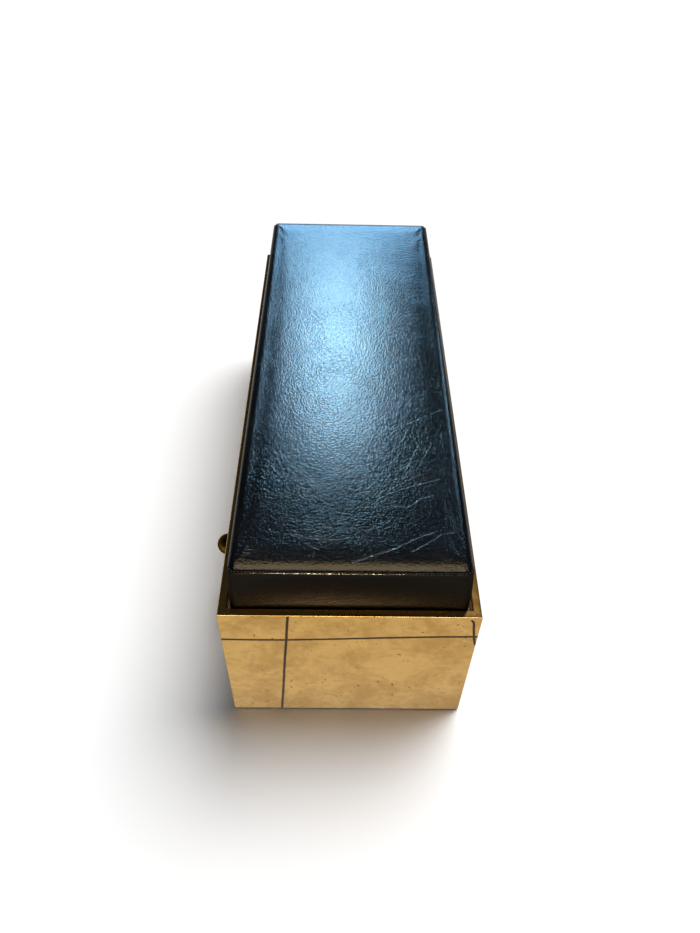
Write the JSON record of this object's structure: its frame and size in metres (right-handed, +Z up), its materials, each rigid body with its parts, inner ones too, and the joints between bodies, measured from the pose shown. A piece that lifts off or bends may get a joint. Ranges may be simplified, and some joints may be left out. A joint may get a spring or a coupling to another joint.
{
  "type": "luggage bench",
  "caption": "Low box bench clad in polished brass with a thick black leather seat pad set into its top and a side drawer with a ball knob, for resting luggage or sitting.",
  "frame": {"origin": "on the floor under the middle of the box, on the underside of the middle felt strip", "axes": "+Z up, Y along the length with the pictured end at -Y, X across the width with the drawer opening towards -X"},
  "size_m": [0.4903, 1.12, 0.445],
  "materials": {
    "brass_sheet": "polished, lightly aged sheet",
    "brass_knob": "polished, darkened",
    "plywood": "sanded birch plywood",
    "hardwood": "waxed hardwood",
    "leather": "black, semi-gloss, fine grain",
    "foam": "open-cell foam",
    "felt": "pressed felt",
    "cover_cloth": "thin woven cloth",
    "steel": "zinc plated"
  },
  "bodies": {
    "bench": {"base_panel": "plywood", "base_screw_1": "steel", "base_screw_10": "steel", "base_screw_2": "steel", "base_screw_3": "steel", "base_screw_4": "steel", "base_screw_5": "steel", "base_screw_6": "steel", "base_screw_7": "steel", "base_screw_8": "steel", "base_screw_9": "steel", "centre_divider": "plywood", "corner_block_far_left": "hardwood", "corner_block_far_right": "hardwood", "corner_block_near_left": "hardwood", "corner_block_near_right": "hardwood", "deck_batten_far": "hardwood", "deck_batten_left": "hardwood", "deck_batten_near": "hardwood", "deck_batten_right": "hardwood", "drawer_guide_far": "hardwood", "drawer_guide_near": "hardwood", "drawer_kicker_far": "hardwood", "drawer_kicker_near": "hardwood", "drawer_runner_far": "hardwood", "drawer_runner_near": "hardwood", "drawer_stop_far": "hardwood", "drawer_stop_near": "hardwood", "far_end_cladding": "brass_sheet", "far_end_panel": "plywood", "felt_strip_far": "felt", "felt_strip_middle": "felt", "felt_strip_near": "felt", "left_bottom_rail": "plywood", "left_far_panel": "plywood", "left_near_stile": "plywood", "left_side_cladding": "brass_sheet", "left_top_rail": "plywood", "near_end_cladding": "brass_sheet", "near_end_panel": "plywood", "right_side_cladding": "brass_sheet", "right_side_panel": "plywood", "seat_deck": "plywood"},
    "drawer": {"drawer_back": "hardwood", "drawer_bottom": "plywood", "drawer_front_board": "plywood", "drawer_front_cladding": "brass_sheet", "drawer_knob": "brass_knob", "drawer_side_far": "hardwood", "drawer_side_near": "hardwood", "knob_rosette": "brass_knob", "knob_screw": "steel", "knob_washer": "steel"},
    "pad": {"pad_board": "plywood", "pad_boxing_leather": "leather", "pad_dust_cover": "cover_cloth", "pad_foam": "foam", "pad_top_leather": "leather"}
  },
  "joints": [
    {"name": "drawer_slide", "type": "slide", "parent": "bench", "child": "drawer", "axis": [-1, 0, 0], "range_m": [0, 0.28]},
    {"name": "pad_lift", "type": "slide", "parent": "bench", "child": "pad", "axis": [0, 0, 1], "range_m": [0, 0.15]}
  ]
}
